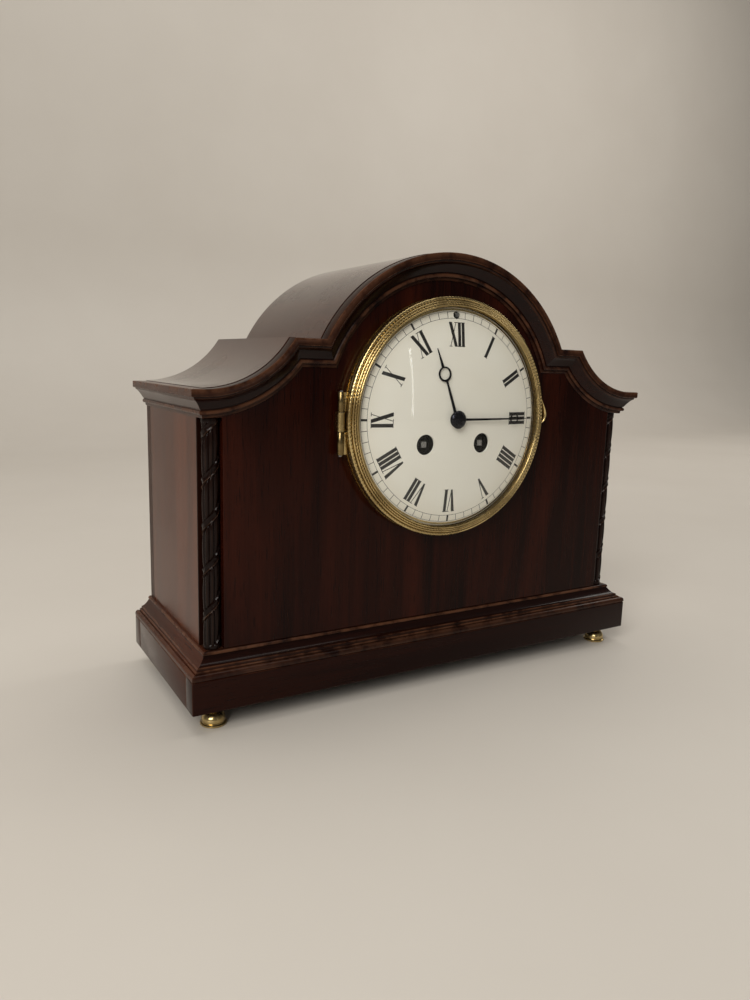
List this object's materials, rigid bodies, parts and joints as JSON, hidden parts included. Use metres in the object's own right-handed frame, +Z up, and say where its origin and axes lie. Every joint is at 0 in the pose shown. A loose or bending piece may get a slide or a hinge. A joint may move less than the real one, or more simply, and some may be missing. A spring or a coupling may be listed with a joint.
{
  "type": "mantel clock",
  "caption": "Arched wooden mantel clock with hollow shoulders, wrapped corner columns, round brass bezel, domed enamel dial and spring-driven striking movement.",
  "frame": {"origin": "on the table under the middle of the clock's box", "axes": "+X to the viewer's right along the clock's width, +Y from the dial to the back, +Z up"},
  "size_m": [0.33, 0.138, 0.2675],
  "materials": {
    "mahogany": "French-polished dark red-brown mahogany",
    "brass": "lacquered, slightly toned",
    "bell_metal": "turned bell metal",
    "steel": "polished steel",
    "blued_steel": "dark blued steel",
    "enamel": "vitreous enamel on copper",
    "glass": "clear convex glass"
  },
  "bodies": {
    "case": {"plinth_front": "mahogany", "plinth_rails": "mahogany", "base_board": "mahogany", "base_moulding_front": "mahogany", "base_moulding_sides": "mahogany", "front_panel": "mahogany", "side_panels": "mahogany", "back_panel": "mahogany", "back_screws": "steel", "roof_arch": "mahogany", "roof_shoulders": "mahogany", "cornice_front": "mahogany", "cornice_sides": "mahogany", "corner_column_left": "mahogany", "corner_column_right": "mahogany", "feet": "brass", "bezel_seat": "brass", "bezel_hinge_pin": "steel", "enamel_dial": "enamel", "dial_plate": "brass", "back_ring": "brass", "door_hinge_pin": "steel", "movement_straps": "brass", "front_plate": "brass", "back_plate": "brass", "pillars": "brass", "suspension_cock": "brass", "bell": "bell_metal", "bell_stand": "brass"},
    "bezel_frame": {"bezel": "brass", "bezel_glass": "glass", "bezel_catch": "brass"},
    "back_door": {"back_door": "brass"},
    "minute_hand": {"cannon_pinion": "brass", "minute_hand": "blued_steel", "hand_collet": "blued_steel"},
    "minute_wheel": {"minute_wheel": "brass"},
    "hour_hand": {"hour_wheel": "brass", "hour_hand": "blued_steel"},
    "third_wheel": {"third_wheel": "brass"},
    "centre_wheel": {"centre_wheel": "brass"},
    "going_second_wheel": {"going_second_wheel": "brass"},
    "going_barrel": {"going_barrel": "brass"},
    "escape_wheel": {"escape_wheel": "brass"},
    "going_winding_arbor": {"going_winding_arbor": "steel"},
    "going_click": {"going_click": "steel"},
    "strike_second_wheel": {"strike_second_wheel": "brass"},
    "strike_barrel": {"strike_barrel": "brass"},
    "pin_wheel": {"pin_wheel": "brass"},
    "warning_wheel": {"warning_wheel": "brass"},
    "fly": {"fly": "brass"},
    "strike_winding_arbor": {"strike_winding_arbor": "steel"},
    "strike_click": {"strike_click": "steel"},
    "hammer": {"hammer": "steel"},
    "regulator": {"regulator_arbor": "steel"},
    "pendulum": {"suspension_spring": "steel", "pendulum_rod": "steel", "pendulum_bob": "brass", "rating_nut": "brass"},
    "anchor": {"anchor_and_crutch": "steel"}
  },
  "joints": [
    {"name": "bezel_hinge", "type": "hinge", "parent": "case", "child": "bezel_frame", "pos_m": [-0.0756, -0.0544, 0.1698], "axis": [0, 0, -1], "range_deg": [0, 110]},
    {"name": "back_door_hinge", "type": "hinge", "parent": "case", "child": "back_door", "pos_m": [-0.0635, 0.067, 0.1698], "axis": [0, 0, 1], "range_deg": [0, 110]},
    {"name": "minute_hand_turn", "type": "hinge", "parent": "case", "child": "minute_hand", "pos_m": [0, -0.06, 0.1698], "axis": [0, 1, 0], "continuous": true},
    {"name": "minute_wheel_turn", "type": "hinge", "parent": "case", "child": "minute_wheel", "pos_m": [0.01039, -0.05, 0.1758], "axis": [0, 1, 0], "continuous": true},
    {"name": "hour_hand_turn", "type": "hinge", "parent": "case", "child": "hour_hand", "pos_m": [0, -0.058, 0.1698], "axis": [0, 1, 0], "continuous": true},
    {"name": "third_wheel_turn", "type": "hinge", "parent": "case", "child": "third_wheel", "pos_m": [0.00055, -0.02, 0.18543], "axis": [0, 1, 0], "continuous": true},
    {"name": "centre_wheel_turn", "type": "hinge", "parent": "case", "child": "centre_wheel", "pos_m": [0, -0.02, 0.1698], "axis": [0, 1, 0], "continuous": true},
    {"name": "going_second_wheel_turn", "type": "hinge", "parent": "case", "child": "going_second_wheel", "pos_m": [0.01585, -0.02, 0.17622], "axis": [0, 1, 0], "continuous": true},
    {"name": "going_barrel_turn", "type": "hinge", "parent": "case", "child": "going_barrel", "pos_m": [0.0211, -0.032, 0.1548], "axis": [0, 1, 0], "continuous": true},
    {"name": "escape_wheel_turn", "type": "hinge", "parent": "case", "child": "escape_wheel", "pos_m": [0, -0.02, 0.19922], "axis": [0, 1, 0], "continuous": true},
    {"name": "going_winding", "type": "hinge", "parent": "case", "child": "going_winding_arbor", "pos_m": [0.0211, -0.032, 0.1548], "axis": [0, 1, 0], "continuous": true},
    {"name": "going_click_pivot", "type": "hinge", "parent": "case", "child": "going_click", "pos_m": [0.0336, -0.046, 0.1508], "axis": [0, 1, 0], "range_deg": [-0.5, 20]},
    {"name": "warning_wheel_turn", "type": "hinge", "parent": "case", "child": "warning_wheel", "pos_m": [-0.01897, -0.02, 0.1975], "axis": [0, 1, 0], "continuous": true},
    {"name": "strike_second_wheel_turn", "type": "hinge", "parent": "case", "child": "strike_second_wheel", "pos_m": [-0.01585, -0.02, 0.17622], "axis": [0, 1, 0], "continuous": true},
    {"name": "strike_barrel_turn", "type": "hinge", "parent": "case", "child": "strike_barrel", "pos_m": [-0.0211, -0.032, 0.1548], "axis": [0, 1, 0], "continuous": true},
    {"name": "pin_wheel_turn", "type": "hinge", "parent": "case", "child": "pin_wheel", "pos_m": [-0.027, -0.02, 0.18918], "axis": [0, 1, 0], "continuous": true},
    {"name": "fly_turn", "type": "hinge", "parent": "case", "child": "fly", "pos_m": [-0.01198, -0.02, 0.20492], "axis": [0, 1, 0], "continuous": true},
    {"name": "strike_winding", "type": "hinge", "parent": "case", "child": "strike_winding_arbor", "pos_m": [-0.0211, -0.032, 0.1548], "axis": [0, 1, 0], "continuous": true},
    {"name": "strike_click_pivot", "type": "hinge", "parent": "case", "child": "strike_click", "pos_m": [-0.0336, -0.046, 0.1508], "axis": [0, -1, 0], "range_deg": [-0.5, 20]},
    {"name": "hammer_lift", "type": "hinge", "parent": "case", "child": "hammer", "pos_m": [0.038, 0.015, 0.1838], "axis": [0, -1, 0], "range_deg": [0, 14]},
    {"name": "regulator_turn", "type": "hinge", "parent": "case", "child": "regulator", "pos_m": [0, -0.03, 0.2318], "axis": [0, 1, 0], "range_deg": [-540, 540]},
    {"name": "pendulum_swing", "type": "hinge", "parent": "case", "child": "pendulum", "pos_m": [0, 0.003, 0.21072], "axis": [0, 1, 0], "range_deg": [-4, 4]},
    {"name": "anchor_swing", "type": "hinge", "parent": "case", "child": "anchor", "pos_m": [0, -0.015, 0.21072], "axis": [0, 1, 0], "range_deg": [-4, 4]}
  ],
  "couplings": [
    {"joint": "minute_wheel_turn", "follows": "minute_hand_turn", "ratio": -0.33333},
    {"joint": "hour_hand_turn", "follows": "minute_hand_turn", "ratio": 0.083333},
    {"joint": "centre_wheel_turn", "follows": "third_wheel_turn", "ratio": -0.095238},
    {"joint": "going_second_wheel_turn", "follows": "third_wheel_turn", "ratio": 0.01443},
    {"joint": "going_barrel_turn", "follows": "third_wheel_turn", "ratio": -0.002405},
    {"joint": "escape_wheel_turn", "follows": "third_wheel_turn", "ratio": -10.5},
    {"joint": "pin_wheel_turn", "follows": "warning_wheel_turn", "ratio": -0.13333},
    {"joint": "strike_second_wheel_turn", "follows": "warning_wheel_turn", "ratio": 0.020202},
    {"joint": "strike_barrel_turn", "follows": "warning_wheel_turn", "ratio": -0.003367},
    {"joint": "fly_turn", "follows": "warning_wheel_turn", "ratio": -7.5},
    {"joint": "anchor_swing", "follows": "pendulum_swing", "ratio": 1}
  ]
}
